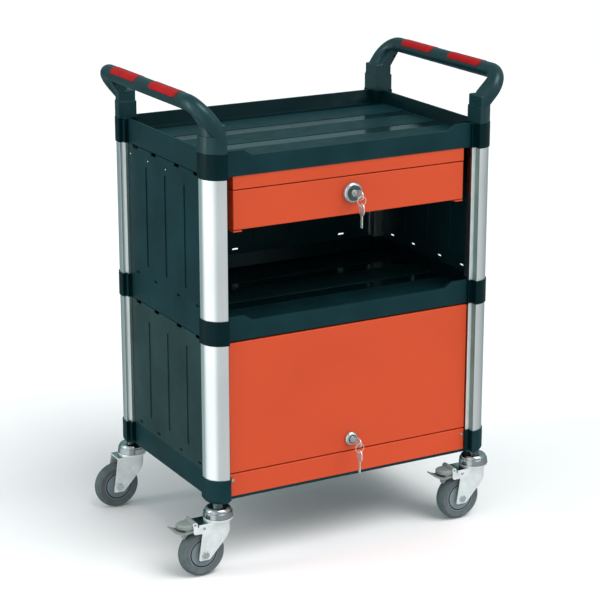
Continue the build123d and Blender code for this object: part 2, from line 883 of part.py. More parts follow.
def pad_curve(thickness):
    """Curve of the foot pad in the side view, at a height over its underside."""
    points = ((0, -pad_root_drop), (-pad_reach / 2, -pad_middle_drop), (-pad_reach, -pad_end_drop))
    return ThreePointArc(*[(pedal_u + u, pedal_z + z + thickness) for u, z in points])


def brake_pedal():
    """Rocking pedal: trunnions, boss, curved foot pad, round release pad and brake shoe."""
    half = fork_half_width - fork_sheet - pedal_side_gap
    boss = Pos(pedal_u, pedal_z) * Circle(pedal_boss_radius)
    body = front_prism(boss, -half, half)
    under = pad_curve(0)
    over = pad_curve(pad_thickness)
    pad = make_face(under + Line(under @ 1, over @ 1) + over + Line(over @ 0, under @ 0))
    body += front_prism(pad, -half, half)

    round_u = pedal_u - release_reach + half
    release_top = pedal_z + release_rise
    release = rectangle_between(round_u, pedal_u, -half, half) + Pos(round_u, 0) * Circle(half)
    release = plan_prism(release, release_top - release_depth, release_top)
    body += fillet(release.faces().sort_by(Axis.Z)[-1].edges(), release_round)
    web = rectangle_between(pedal_u - web_reach, pedal_u, pedal_z - pad_root_drop, pedal_z)
    body += front_prism(web, -half + web_inset, half - web_inset)

    near = pedal_u - shoe_near
    far = pedal_u - shoe_far
    shoe_top = pedal_z - pad_root_drop
    shoe = polygon((near, shoe_top), (near, above_tyre(near)), (far, above_tyre(far)), (far, shoe_top))
    body += front_prism(shoe, -shoe_half_width, shoe_half_width)
    trunnion = Pos(pedal_u, pedal_z) * Circle(pedal_pivot_radius)
    return body + front_prism(trunnion, -fork_half_width, fork_half_width)


# Assembly
def all_pieces():
    """Every node's solids by name."""
    drawer_pan = front_pan(drawer_half, drawer_bottom, drawer_top, drawer_y)
    pieces = {
        "top_tray": [tray(top_z, False)],
        "middle_tray": [tray(middle_z, False)],
        "bottom_tray": [tray(bottom_z, True)],
        "upper_back_panel": [back_panel(middle_z)],
        "lower_back_panel": [back_panel(bottom_z)],
        "drawer_housing": [drawer_housing()],
        "drawer_rails": [to_side(drawer_rail(), side) for side in SIDES],
        "drawer_slides": [to_side(drawer_slide(), side) for side in SIDES],
        "drawer_box": [drawer_box()],
        "drawer_front": [lock_hole(drawer_pan, drawer_y, drawer_lock_z)],
        "cupboard_door": [cupboard_door()],
        "door_pivot_pins": [to_side(pivot_pin(), side) for side in SIDES],
        "kick_strip": [kick_strip()],
    }
    upper_post = post(middle_z, top_z)
    lower_post = post(bottom_z, middle_z)
    lower_front_post = lower_post - pivot_hole()
    for corner in CORNERS:
        lower = lower_front_post if corner.startswith("front") else lower_post
        pieces[f"upper_post_{corner}"] = [to_corner(upper_post, corner)]
        pieces[f"lower_post_{corner}"] = [to_corner(lower, corner)]
    for side in SIDES:
        pieces[f"upper_side_panel_{side}"] = [to_side(side_panel(middle_z), side)]
        pieces[f"lower_side_panel_{side}"] = [to_side(side_panel(bottom_z), side)]
        pieces[f"handle_{side}"] = [to_side(handle(), side)]
        inserts = [grip_insert(y) for y in (-insert_middle, insert_middle)]
        pieces[f"grip_inserts_{side}"] = [to_side(insert, side) for insert in inserts]

    drawer_lock = lock_set(
        drawer_y, drawer_lock_z, drawer_rose_radius, drawer_rose_depth, drawer_cam_length, drawer_wall, False
    )
    door_lock = lock_set(door_y, door_lock_z, door_rose_radius, door_rose_depth, door_cam_length, 0, True)
    pieces.update({f"drawer_{name}": solids for name, solids in drawer_lock.items()})
    pieces.update({f"door_{name}": solids for name, solids in door_lock.items()})

    for corner in CORNERS:
        braked = corner.startswith("front")
        x = caster_x if corner.endswith("right") else -caster_x
        y = -caster_y if braked else caster_y
        place = Pos(x, y, 0)
        pieces[f"caster_mount_{corner}"] = [place * caster_mount()]
        pieces[f"caster_fork_{corner}"] = [place * fork(braked)]
        pieces[f"caster_axle_{corner}"] = [place * axle()]
        pieces[f"caster_hub_{corner}"] = [place * hub()]
        pieces[f"caster_tyre_{corner}"] = [place * tyre()]
        if braked:
            pieces[f"brake_pedal_{corner}"] = [place * brake_pedal()]
    return pieces


os.makedirs("parts", exist_ok=True)
for node, solids in all_pieces().items():
    shape = solids[0] if len(solids) == 1 else Compound(children=solids)
    export_step(shape, f"parts/{node}.step")
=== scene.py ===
"""Shelf trolley with a drawer and a cupboard flap: finishes, small parts, light and camera.

Metres, +Z up, front towards -Y.
"""
import json
import math

import bmesh
import bpy
from mathutils import Matrix, Vector


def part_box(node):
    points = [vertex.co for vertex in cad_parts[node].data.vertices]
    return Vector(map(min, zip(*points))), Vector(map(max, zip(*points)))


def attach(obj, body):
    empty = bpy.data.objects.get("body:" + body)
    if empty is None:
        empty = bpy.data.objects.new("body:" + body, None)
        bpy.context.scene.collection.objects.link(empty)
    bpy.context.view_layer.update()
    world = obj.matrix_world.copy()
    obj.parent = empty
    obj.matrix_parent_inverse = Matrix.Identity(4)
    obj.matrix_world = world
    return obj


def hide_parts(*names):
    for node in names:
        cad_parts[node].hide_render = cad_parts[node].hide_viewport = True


bl_info = {
    "name": "Shelf Trolley",
    "version": (1, 0, 0),
    "blender": (4, 5, 0),
    "location": "View3D > Sidebar > Trolley",
    "description": "Dresses a shelf trolley with its finishes, small parts, light and camera",
    "category": "Object",
}

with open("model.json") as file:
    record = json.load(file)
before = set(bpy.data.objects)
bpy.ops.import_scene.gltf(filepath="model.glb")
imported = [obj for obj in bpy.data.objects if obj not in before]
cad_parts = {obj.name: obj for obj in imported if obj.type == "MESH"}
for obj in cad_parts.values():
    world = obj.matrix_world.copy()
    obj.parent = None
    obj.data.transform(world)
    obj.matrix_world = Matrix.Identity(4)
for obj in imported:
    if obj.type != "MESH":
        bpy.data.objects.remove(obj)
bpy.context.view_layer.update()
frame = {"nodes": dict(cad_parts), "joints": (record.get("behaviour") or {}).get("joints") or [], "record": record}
NODES = frame["nodes"]
SLOT_OF = {part["node"]: part["material_slot"] for part in frame["record"]["subparts"]}
BODY_OF = {
    node: body
    for body, members in frame["record"]["behaviour"]["bodies"].items()
    for node in members
}
SIDES = ("left", "right")
CORNERS = ("front_left", "front_right", "rear_left", "rear_right")
BRAKED = ("front_left", "front_right")
LOCKS = ("drawer", "door")
FINISH = {}

# Distances within which points are one, or faces on one level
WELD = 1e-5
NEAR = 1e-4

# Angles between faces: merged below the first, softened and shaded sharp above the others
FLAT_ANGLE = math.radians(0.2)
SHARP_ANGLE = math.radians(30)
SHADE_ANGLE = math.radians(35)

# Shares of a face's normal along an axis
LEVEL = 0.99
FACING = 0.9
SIDEWAYS = 0.75
UPRIGHT = 0.5

# Counts of sides and steps in the round shapes
SCREW_SIDES = 24
BUTTON_SIDES = 20
FLOOR_SIDES = 96
BLOCK_STEPS = 4
CORNER_STEPS = 6
INSERT_STRIPS = 28


# Properties
class TrolleyColours(bpy.types.PropertyGroup):
    """Colours of the finishes, and of the painted light and shade."""

    plastic: bpy.props.FloatVectorProperty(
        name="Plastic",
        description="Moulded trays, upper panels and handles",
        subtype="COLOR",
        default=(0.004, 0.0255, 0.0305),
    )
    # Painted light: a lighter copy of the plastic for the lower side panels.
    lit_plastic: bpy.props.FloatVectorProperty(
        name="Pale plastic",
        description="Lower side panels",
        subtype="COLOR",
        default=(0.0145, 0.0365, 0.0365),
    )
    # Also the painted shade on the trays' inside walls and upper sleeves, on the housing's sides behind the slots
    # and in the hub seams.
    smooth_plastic_and_shade: bpy.props.FloatVectorProperty(
        name="Smooth plastic",
        description="Polished decks and post sleeves",
        subtype="COLOR",
        default=(0.001, 0.011, 0.0135),
    )
    aluminium: bpy.props.FloatVectorProperty(
        name="Aluminium",
        description="Anodised corner posts",
        subtype="COLOR",
        default=(0.87, 0.94, 0.93),
    )
    # Painted shade on a post's side between its face and its fin.
    recess: bpy.props.FloatVectorProperty(
        name="Recess",
        description="Dull side of a post between its face and its fin",
        subtype="COLOR",
        default=(0.16, 0.245, 0.225),
    )
    paint: bpy.props.FloatVectorProperty(
        name="Paint",
        description="Powder coat on the sheet metal",
        subtype="COLOR",
        default=(0.56, 0.058, 0.012),
    )
    grip: bpy.props.FloatVectorProperty(
        name="Grip",
        description="Inserts in the handles",
        subtype="COLOR",
        default=(0.345, 0.006, 0.006),
    )
    zinc: bpy.props.FloatVectorProperty(
        name="Zinc",
        description="Plated forks, axles and rails",
        subtype="COLOR",
        default=(0.8, 0.87, 0.86),
    )
    chrome: bpy.props.FloatVectorProperty(
        name="Chrome",
        description="Locks, screws, bolts and rivets",
        subtype="COLOR",
        default=(0.55, 0.61, 0.61),
    )
    # On the tops of the forks this is a painted dark reflection.
    cup: bpy.props.FloatVectorProperty(
        name="Cup",
        description="Swivel cups of the casters and the tops of their forks",
        subtype="COLOR",
        default=(0.39, 0.44, 0.45),
    )
    # Painted dark reflection on the lock faces, and painted shade on the caster necks.
    shade_and_reflection: bpy.props.FloatVectorProperty(
        name="Dark steel",
        description="Lock faces inside their bright rims, and the necks of the casters",
        subtype="COLOR",
        default=(0.13, 0.165, 0.16),
    )
    key: bpy.props.FloatVectorProperty(
        name="Key",
        description="Nickel-plated keys",
        subtype="COLOR",
        default=(0.7, 0.77, 0.75),
    )
    hub: bpy.props.FloatVectorProperty(
        name="Hub",
        description="Moulded wheel centres",
        subtype="COLOR",
        default=(0.15, 0.185, 0.2),
    )
    tyre: bpy.props.FloatVectorProperty(
        name="Tyre",
        description="Rubber treads",
        subtype="COLOR",
        default=(0.06, 0.09, 0.09),
    )
    tyre_side: bpy.props.FloatVectorProperty(
        name="Tyre side",
        description="Rubber side walls",
        subtype="COLOR",
        default=(0.084, 0.1036, 0.112),
    )
    pedal: bpy.props.FloatVectorProperty(
        name="Pedal",
        description="Moulded brake pedals",
        subtype="COLOR",
        default=(0.215, 0.245, 0.232),
    )


class TrolleySizes(bpy.types.PropertyGroup):
    """Sizes of the small parts and of the softened edges."""

    moulded_edge: bpy.props.FloatProperty(
        name="Moulded edge",
        description="Width of the softened edges on plastic",
        unit="LENGTH",
        default=0.0005,
    )
    sheet_edge: bpy.props.FloatProperty(
        name="Sheet edge",
        description="Width of the softened edges on metal",
        unit="LENGTH",
        default=0.0004,
    )
    pedal_edge: bpy.props.FloatProperty(
        name="Pedal edge",
        description="Width of the softened edges on a brake pedal",
        unit="LENGTH",
        default=0.0002,
    )
    deck_depth: bpy.props.FloatProperty(
        name="Deck depth",
        description="From a tray's rim down to its deck",
        unit="LENGTH",
        default=0.03,
    )
    # The housing's sides behind this lip get painted shade.
    housing_lip: bpy.props.FloatProperty(
        name="Housing lip",
        description="Painted front of the drawer housing's sides",
        unit="LENGTH",
        default=0.04,
    )
    sleeve_side: bpy.props.FloatProperty(
        name="Sleeve side",
        description="Side of the sleeve round a post",
        unit="LENGTH",
        default=0.052,
    )
    post_recess: bpy.props.FloatProperty(
        name="Post recess",
        description="From a post's face back to its fin",
        unit="LENGTH",
        default=0.017,
    )
    screw_radius: bpy.props.FloatProperty(
        name="Screw radius",
        description="Radius of a screw head",
        unit="LENGTH",
        default=0.0036,
    )
    strip_screw_inset: bpy.props.FloatProperty(
        name="Strip screw inset",
        description="From the kick strip's end to its screw",
        unit="LENGTH",
        default=0.0057,
    )
    strip_screw_drop: bpy.props.FloatProperty(
        name="Strip screw drop",
        description="From the kick strip's top to its screws",
        unit="LENGTH",
        default=0.013,
    )
    neck_height: bpy.props.FloatProperty(
        name="Neck height",
        description="From the bottom tray down to a caster's cup",
        unit="LENGTH",
        default=0.0082,
    )
    # The seam's darkness is painted shade.
    seam_inside: bpy.props.FloatProperty(
        name="Seam inside",
        description="Inner radius of the dark seam on a wheel",
        unit="LENGTH",
        default=0.029,
    )
    seam_outside: bpy.props.FloatProperty(
        name="Seam outside",
        description="Outer radius of the dark seam on a wheel",
        unit="LENGTH",
        default=0.0316,
    )
    rivet_radius: bpy.props.FloatProperty(
        name="Rivet radius",
        description="Radius of a rivet on a braked fork",
        unit="LENGTH",
        default=0.0034,
    )
    rivet_rise: bpy.props.FloatProperty(
        name="Rivet rise",
        description="Height of a rivet over the fork",
        unit="LENGTH",
        default=0.00136,
    )
    rivet_back: bpy.props.FloatProperty(
        name="Rivet back",
        description="From a caster's swivel back to the rivet",
        unit="LENGTH",
        default=0.0437,
    )
    rivet_height: bpy.props.FloatProperty(
        name="Rivet height",
        description="From the floor up to the rivet",
        unit="LENGTH",
        default=0.1145,
    )
    cheek_reach: bpy.props.FloatProperty(
        name="Cheek reach",
        description="From a caster's middle to the outside of its fork",
        unit="LENGTH",
        default=0.022,
    )
    block_top: bpy.props.FloatProperty(
        name="Block top",
        description="From the floor up to the top of a handle's leg block",
        unit="LENGTH",
        default=0.985,
    )
    block_edge: bpy.props.FloatProperty(
        name="Block edge",
        description="Width of the rounded edges on a handle's leg block",
        unit="LENGTH",
        default=0.003,
    )
    insert_length: bpy.props.FloatProperty(
        name="Insert length",
        description="Length of a red insert along the grip",
        unit="LENGTH",
        default=0.125,
    )
    insert_angle: bpy.props.FloatProperty(
        name="Insert angle",
        description="From the top of the grip to the edge of an insert",
        subtype="ANGLE",
        default=math.radians(72),
    )
    insert_corner: bpy.props.FloatProperty(
        name="Insert corner",
        description="Rounding of an insert's corners",
        unit="LENGTH",
        default=0.006,
    )
    insert_depth: bpy.props.FloatProperty(
        name="Insert depth",
        description="Thickness of an insert",
        unit="LENGTH",
        default=0.0035,
    )
    cap_radius: bpy.props.FloatProperty(
        name="Cap radius",
        description="Radius of the dark cap over a handle's screw",
        unit="LENGTH",
        default=0.003,
    )
    cap_rise: bpy.props.FloatProperty(
        name="Cap rise",
        description="Height of a cap over the handle",
        unit="LENGTH",
        default=0.0006,
    )
    cap_out: bpy.props.FloatProperty(
        name="Cap out",
        description="From the middle of the trolley out to a handle's cap",
        unit="LENGTH",
        default=0.3595,
    )
    cap_back: bpy.props.FloatProperty(
        name="Cap back",
        description="From the middle of the trolley to the face under a handle's cap",
        unit="LENGTH",
        default=0.1966,
    )
    cap_height: bpy.props.FloatProperty(
        name="Cap height",
        description="From the floor up to a handle's cap",
        unit="LENGTH",
        default=1.002,
    )
    stud_radius: bpy.props.FloatProperty(
        name="Stud radius",
        description="Radius of a stud at a panel's top",
        unit="LENGTH",
        default=0.0016,
    )
    stud_rise: bpy.props.FloatProperty(
        name="Stud rise",
        description="Height of a stud over the panel",
        unit="LENGTH",
        default=0.0008,
    )
    stud_count: bpy.props.IntProperty(
        name="Stud count",
        description="Studs along a panel's top",
        default=3,
    )
    stud_drop: bpy.props.FloatProperty(
        name="Stud drop",
        description="From a panel's top down to its studs",
        unit="LENGTH",
        default=0.0222,
    )
    stud_inset: bpy.props.FloatProperty(
        name="Stud inset",
        description="From a panel's rear edge to its first stud",
        unit="LENGTH",
        default=0.0178,
    )
    stud_pitch: bpy.props.FloatProperty(
        name="Stud pitch",
        description="Between the studs along a panel",
        unit="LENGTH",
        default=0.09,
    )


class TrolleyStage(bpy.types.PropertyGroup):
    """Camera, light and floor."""

    azimuth: bpy.props.FloatProperty(
        name="Azimuth",
        description="Camera's turn from the front, to the left below nought",
        subtype="ANGLE",
        default=-0.50646,
    )
    elevation: bpy.props.FloatProperty(
        name="Elevation",
        description="Camera's height angle over the horizon",
        subtype="ANGLE",
        default=0.29105,
    )
    distance: bpy.props.FloatProperty(
        name="Distance",
        description="From the camera to the point that it looks at",
        unit="LENGTH",
        default=4.6129,
    )
    focal_length: bpy.props.FloatProperty(
        name="Focal length",
        description="Camera's focal length in millimetres",
        default=122.245,
    )
    target: bpy.props.FloatVectorProperty(
        name="Target",
        description="Point that the camera looks at",
        subtype="TRANSLATION",
        unit="LENGTH",
        default=(-0.003407, 0.0, 0.506242),
    )
    floor_radius: bpy.props.FloatProperty(
        name="Floor radius",
        description="Radius of the round floor",
        unit="LENGTH",
        default=150.0,
    )


# Shader helpers
def new_finish(name):
    """Material with its node tree and its shader."""
    material = bpy.data.materials.new(f"{name}_finish")
    material.use_nodes = True
    tree = material.node_tree
    return material, tree, tree.nodes["Principled BSDF"]


def object_vector(tree, scale=(1.0, 1.0, 1.0)):
    """Object coordinates stretched by a scale."""
    place = tree.nodes.new("ShaderNodeTexCoord")
    mapping = tree.nodes.new("ShaderNodeMapping")
    mapping.inputs["Scale"].default_value = scale
    tree.links.new(place.outputs["Object"], mapping.inputs["Vector"])
    return mapping.outputs["Vector"]


def noise(tree, vector, scale, detail=2.0):
    """Noise of so many waves to a metre."""
    node = tree.nodes.new("ShaderNodeTexNoise")
    node.inputs["Scale"].default_value = scale
    node.inputs["Detail"].default_value = detail
    tree.links.new(vector, node.inputs["Vector"])
    return node.outputs["Fac"]


def cells(tree, vector, scale):
    """Crystal-like cells of so many to a metre."""
    node = tree.nodes.new("ShaderNodeTexVoronoi")
    node.inputs["Scale"].default_value = scale
    tree.links.new(vector, node.inputs["Vector"])
    return node.outputs["Color"]


def between(tree, factor, low, high, start=0.3, end=0.7):
    """Value that runs from low to high as the factor goes from start to end."""
    node = tree.nodes.new("ShaderNodeMapRange")
    node.inputs["From Min"].default_value = start
    node.inputs["From Max"].default_value = end
    node.inputs["To Min"].default_value = low
    node.inputs["To Max"].default_value = high
    tree.links.new(factor, node.inputs["Value"])
    return node.outputs["Result"]


def tinted(tree, shader, factor, colour, darker, lighter):
    """Base colour that varies between a darker and a lighter shade of one colour."""
    ramp = tree.nodes.new("ShaderNodeValToRGB")
    ramp.color_ramp.elements[0].position = 0.3
    ramp.color_ramp.elements[0].color = (*[channel * darker for channel in colour], 1.0)
    ramp.color_ramp.elements[1].position = 0.7
    ramp.color_ramp.elements[1].color = (*[min(1.0, channel * lighter) for channel in colour], 1.0)
    tree.links.new(factor, ramp.inputs["Fac"])
    tree.links.new(ramp.outputs["Color"], shader.inputs["Base Color"])


def bumps(tree, shader, *layers):
    """Bumps laid over each other, each a height pattern with its strength and depth."""
    normal = None
    for height, strength, depth in layers:
        node = tree.nodes.new("ShaderNodeBump")
        node.inputs["Strength"].default_value = strength
        node.inputs["Distance"].default_value = depth
        tree.links.new(height, node.inputs["Height"])
        if normal is not None:
            tree.links.new(normal, node.inputs["Normal"])
        normal = node.outputs["Normal"]
    tree.links.new(normal, shader.inputs["Normal"])


# Finishes
def moulded_plastic(name, colour, gloss, shine, wave):
    """Moulded plastic: fine grain, slow waves and uneven gloss."""
    material, tree, shader = new_finish(name)
    vector = object_vector(tree)
    patches = noise(tree, vector, 9.0, 4.0)
    tinted(tree, shader, patches, colour, 0.8, 1.25)
    shader.inputs["Specular IOR Level"].default_value = shine
    shader.inputs["Specular Tint"].default_value = (0.7, 1.0, 1.0, 1.0)
    uneven = between(tree, noise(tree, vector, 30.0, 4.0), gloss - 0.05, gloss + 0.07)
    tree.links.new(uneven, shader.inputs["Roughness"])
    bumps(
        tree,
        shader,
        (noise(tree, vector, 6.0, 1.0), wave, 0.02),
        (noise(tree, vector, 1100.0, 1.0), 0.2, 0.0002),
    )
    return material


def anodised_aluminium(name, colour):
    """Extruded aluminium: fine lines along the post."""
    material, tree, shader = new_finish(name)
    lines = noise(tree, object_vector(tree, (1.0, 1.0, 0.004)), 700.0, 3.0)
    cloud = noise(tree, object_vector(tree), 5.0, 3.0)
    tinted(tree, shader, cloud, colour, 0.94, 1.03)
    shader.inputs["Metallic"].default_value = 1.0
    tree.links.new(between(tree, lines, 0.24, 0.42), shader.inputs["Roughness"])
    bumps(tree, shader, (lines, 0.12, 0.0004))
    return material


def powder_coat(name, colour):
    """Semi-gloss powder coat with orange peel."""
    material, tree, shader = new_finish(name)
    vector = object_vector(tree)
    tinted(tree, shader, noise(tree, vector, 3.0, 3.0), colour, 0.95, 1.05)
    uneven = between(tree, noise(tree, vector, 40.0, 3.0), 0.38, 0.5)
    tree.links.new(uneven, shader.inputs["Roughness"])
    shader.inputs["Specular IOR Level"].default_value = 0.3
    shader.inputs["Coat Weight"].default_value = 0.05
    shader.inputs["Coat Roughness"].default_value = 0.25
    bumps(tree, shader, (noise(tree, vector, 420.0, 1.0), 0.12, 0.0004))
    return material


def gloss_plastic(name, colour):
    """Glossy insert with flow marks and fine lines along the grip."""
    material, tree, shader = new_finish(name)
    vector = object_vector(tree)
    tinted(tree, shader, noise(tree, vector, 25.0, 3.0), colour, 0.85, 1.15)
    shader.inputs["Specular IOR Level"].default_value = 0.08
    uneven = between(tree, noise(tree, vector, 120.0, 2.0), 0.25, 0.35)
    tree.links.new(uneven, shader.inputs["Roughness"])
    lines = noise(tree, object_vector(tree, (1.0, 0.01, 1.0)), 400.0, 1.0)
    bumps(tree, shader, (lines, 0.3, 0.0005))
    return material


def plated_steel(name, colour, gloss, spangle, metal):
    """Zinc or chrome plate with faint cells and soft marks."""
    material, tree, shader = new_finish(name)
    vector = object_vector(tree)
    marks = noise(tree, vector, 60.0, 4.0)
    tinted(tree, shader, marks, colour, 1.0 - spangle, 1.0 + spangle / 2)
    shader.inputs["Metallic"].default_value = metal
    uneven = between(tree, cells(tree, vector, 180.0), gloss, gloss + spangle, 0.0, 1.0)
    tree.links.new(uneven, shader.inputs["Roughness"])
    bumps(tree, shader, (noise(tree, vector, 90.0, 2.0), 0.08, 0.0008))
    return material


def rubber(name, colour):
    """Worn grey rubber: dusty patches and a fine grain."""
    material, tree, shader = new_finish(name)
    vector = object_vector(tree)
    tinted(tree, shader, noise(tree, vector, 70.0, 5.0), colour, 0.8, 1.2)
    uneven = between(tree, noise(tree, vector, 150.0, 3.0), 0.6, 0.8)
    tree.links.new(uneven, shader.inputs["Roughness"])
    bumps(tree, shader, (noise(tree, vector, 900.0, 1.0), 0.25, 0.0003))
    return material


def finishes(colours):
    """Every finish by the record's slot, and the finishes of single faces."""
    made = {
        "post_aluminium": anodised_aluminium("post_aluminium", colours.aluminium),
        "paint_orange": powder_coat("paint_orange", colours.paint),
        "grip_red": gloss_plastic("grip_red", colours.grip),
        "tyre_grey": rubber("tyre_grey", colours.tyre),
        "tyre_side": rubber("tyre_side", colours.tyre_side),
    }
    for name, colour, gloss, shine, wave in (
        ("plastic_black", colours.plastic, 0.4, 0.12, 0.25),
        # Painted light: a lighter copy of plastic_black.
        ("plastic_lit", colours.lit_plastic, 0.4, 0.12, 0.25),
        ("plastic_polished", colours.smooth_plastic_and_shade, 0.1, 0.6, 0.015),
        # Painted shade: a darker, smoother copy of the plastic.
        ("plastic_smooth_shade", colours.smooth_plastic_and_shade, 0.22, 0.1, 0.1),
        ("plastic_handle", colours.plastic, 0.3, 0.4, 0.1),
        # Painted shade in the posts' recesses.
        ("post_recess", colours.recess, 0.5, 0.2, 0.02),
        ("hub_grey", colours.hub, 0.5, 0.4, 0.1),
        # Painted shade in the hub seams; the handle caps share it as their own colour.
        ("hub_seam", colours.smooth_plastic_and_shade, 0.5, 0.2, 0.1),
        ("pedal_grey", colours.pedal, 0.45, 0.4, 0.1),
    ):
        made[name] = moulded_plastic(name, colour, gloss, shine, wave)
    for name, colour, gloss, spangle, metal in (
        # Painted highlight: a pale, dull copy of the zinc on the posts' fins.
        ("post_fin", colours.zinc, 0.4, 0.05, 0.3),
        ("rail_steel", colours.zinc, 0.3, 0.12, 0.8),
        ("pin_steel", colours.zinc, 0.25, 0.1, 0.8),
        ("lock_chrome", colours.chrome, 0.14, 0.06, 0.9),
        # Painted dark reflection on the lock faces.
        ("lock_face", colours.shade_and_reflection, 0.12, 0.06, 1.0),
        ("key_steel", colours.key, 0.24, 0.08, 0.68),
        # Also a painted dark reflection on the tops of the forks.
        ("cup_chrome", colours.cup, 0.14, 0.06, 1.0),
        # Painted shade on the caster necks under the bottom tray.
        ("caster_neck", colours.shade_and_reflection, 0.2, 0.06, 1.0),
        ("fork_zinc", colours.zinc, 0.34, 0.12, 0.5),
    ):
        made[name] = plated_steel(name, colour, gloss, spangle, metal)
    return made


# Mesh helpers
def merged_copy(node):
    """Bmesh of a node with its triangles merged into whole faces."""
    bm = bmesh.new()
    bm.from_mesh(NODES[node].data)
    bmesh.ops.remove_doubles(bm, verts=bm.verts, dist=WELD)
    bmesh.ops.dissolve_limit(bm, angle_limit=FLAT_ANGLE, verts=bm.verts, edges=bm.edges)
    bmesh.ops.connect_verts_concave(bm, faces=bm.faces)
    return bm


def sharp_edges(bm):
    """Edges where faces meet at a clear angle."""
    return [edge for edge in bm.edges if edge.calc_face_angle(0.0) > SHARP_ANGLE]


def on_level(edge, height):
    """Whether both ends of an edge are at a height."""
    return all(abs(vertex.co.z - height) < NEAR for vertex in edge.verts)


def round_edges(bm, edges, width, segments=2):
    """Rounds edges by a width and gives the vertices that this makes."""
    made = bmesh.ops.bevel(
        bm,
        geom=edges,
        offset=width,
        offset_type="OFFSET",
        segments=segments,
        profile=0.5,
        affect="EDGES",
        material=-1,
    )
    return set(made["verts"])


def cut_along(bm, place, normal):
    """Cuts every face along a plane."""
    everything = [*bm.verts, *bm.edges, *bm.faces]
    bmesh.ops.bisect_plane(bm, geom=everything, plane_co=place, plane_no=normal)


def divide(piece, place, normal):
    """Cuts a piece's faces along a plane."""
    bm = bmesh.new()
    bm.from_mesh(piece.data)
    cut_along(bm, place, normal)
    bm.to_mesh(piece.data)
    bm.free()


def shade_by_angle(mesh):
    """Smooth faces with sharp edges where faces meet at a clear angle."""
    mesh.shade_smooth()
    mesh.set_sharp_from_angle(angle=SHADE_ANGLE)


def turned_to(axis, place):
    """Matrix that brings +Z to an axis and the origin to a place."""
    turn = Vector((0, 0, 1)).rotation_difference(Vector(axis))
    return Matrix.Translation(place) @ turn.to_matrix().to_4x4()


def move_faces(bm, faces, way):
    """Moves faces by a vector."""
    corners = list({vertex for face in faces for vertex in face.verts})
    bmesh.ops.translate(bm, verts=corners, vec=way)


def raise_disc(bm, place, axis, radius, height, sides):
    """Disc raised along an axis; gives its top."""
    made = bmesh.ops.create_circle(
        bm,
        cap_ends=True,
        segments=sides,
        radius=radius,
        matrix=turned_to(axis, place),
    )
    base = list({face for vertex in made["verts"] for face in vertex.link_faces})
    raised = bmesh.ops.extrude_face_region(bm, geom=base)
    top = [item for item in raised["geom"] if isinstance(item, bmesh.types.BMFace)]
    move_faces(bm, top, Vector(axis).normalized() * height)
    return top


def add_screw_head(bm, place, axis, radius):
    """Pan head with a sloping shoulder and a round recess."""
    height = 0.55 * radius
    shoulder = 0.35 * radius
    rim = 0.12 * radius
    recess = 0.7 * height
    top = raise_disc(bm, place, axis, radius, height, SCREW_SIDES)
    bmesh.ops.inset_region(bm, faces=top, thickness=shoulder, depth=0.2 * height)
    bmesh.ops.inset_region(bm, faces=top, thickness=rim, depth=0.0)
    move_faces(bm, top, Vector(axis).normalized() * -recess)


def add_button(bm, place, axis, radius, height):
    """Low round head with a broken edge."""
    straight = 0.6 * height
    top = raise_disc(bm, place, axis, radius, straight, BUTTON_SIDES)
    bmesh.ops.inset_region(bm, faces=top, thickness=0.4 * radius, depth=height - straight)


def bent_inserts(node, sizes):
    """Two inserts with round corners, bent over the grip."""
    low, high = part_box(node)
    radius = (high.x - low.x) / 2 / math.sin(sizes.insert_angle)
    axis = Vector(((low.x + high.x) / 2, 0, high.z - radius))
    width = 2 * sizes.insert_angle * radius
    bm = bmesh.new()
    for end in (-1, 1):
        middle = Matrix.Translation((0, end * (high.y - sizes.insert_length / 2), 0))
        spread = Matrix.Diagonal((width, sizes.insert_length, 1, 1))
        bmesh.ops.create_grid(bm, x_segments=1, y_segments=1, size=0.5, matrix=middle @ spread)
    bmesh.ops.bevel(
        bm,
        geom=bm.verts[:],
        offset=sizes.insert_corner,
        offset_type="OFFSET",
        segments=CORNER_STEPS,
        profile=0.5,
        affect="VERTICES",
        material=-1,
    )
    for step in range(1, INSERT_STRIPS):
        cut_along(bm, (width * (step / INSERT_STRIPS - 0.5), 0, 0), (1, 0, 0))
    bmesh.ops.solidify(bm, geom=bm.faces[:], thickness=sizes.insert_depth)
    outside = max(vertex.co.z for vertex in bm.verts)
    for vertex in bm.verts:
        angle = vertex.co.x / radius
        reach = radius + vertex.co.z - outside
        vertex.co = axis + Vector((reach * math.sin(angle), vertex.co.y, reach * math.cos(angle)))
    bmesh.ops.recalc_face_normals(bm, faces=bm.faces)
    round_edges(bm, sharp_edges(bm), sizes.moulded_edge)
    return bm


# Pieces and their finishes
def middle_of(node):
    """Middle of a node's box."""
    low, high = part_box(node)
    return (low + high) / 2


def joint_place(name):
    """Place of a joint's axis."""
    joint = next(joint for joint in frame["joints"] if joint["name"] == name)
    return Vector(joint["pos_m"])


def dress(node):
    """Gives a node the finish of its slot."""
    material = FINISH[SLOT_OF[node]]
    for holder in NODES[node].material_slots:
        holder.material = material


def add_piece(name, bm, slot, body, *nodes):
    """New object from a bmesh, with its finish, its body and the nodes that it stands for."""
    mesh = bpy.data.meshes.new(name)
    bm.to_mesh(mesh)
    bm.free()
    mesh.materials.append(FINISH[slot])
    piece = bpy.data.objects.new(name, mesh)
    bpy.context.scene.collection.objects.link(piece)
    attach(piece, body)
    if nodes:
        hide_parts(*nodes)
    return piece


def replace_node(node, bm):
    """Piece from a bmesh in place of a node, smooth over its curves and level on its flats."""
    piece = add_piece(f"{node}_finished", bm, SLOT_OF[node], BODY_OF[node], node)
    shade_by_angle(piece.data)
    level = piece.modifiers.new("level_faces", "WEIGHTED_NORMAL")
    level.keep_sharp = True
    return piece


def soften(node, width):
    """Copy of a node with softened edges, in place of the node."""
    bm = merged_copy(node)
    round_edges(bm, sharp_edges(bm), width)
    return replace_node(node, bm)


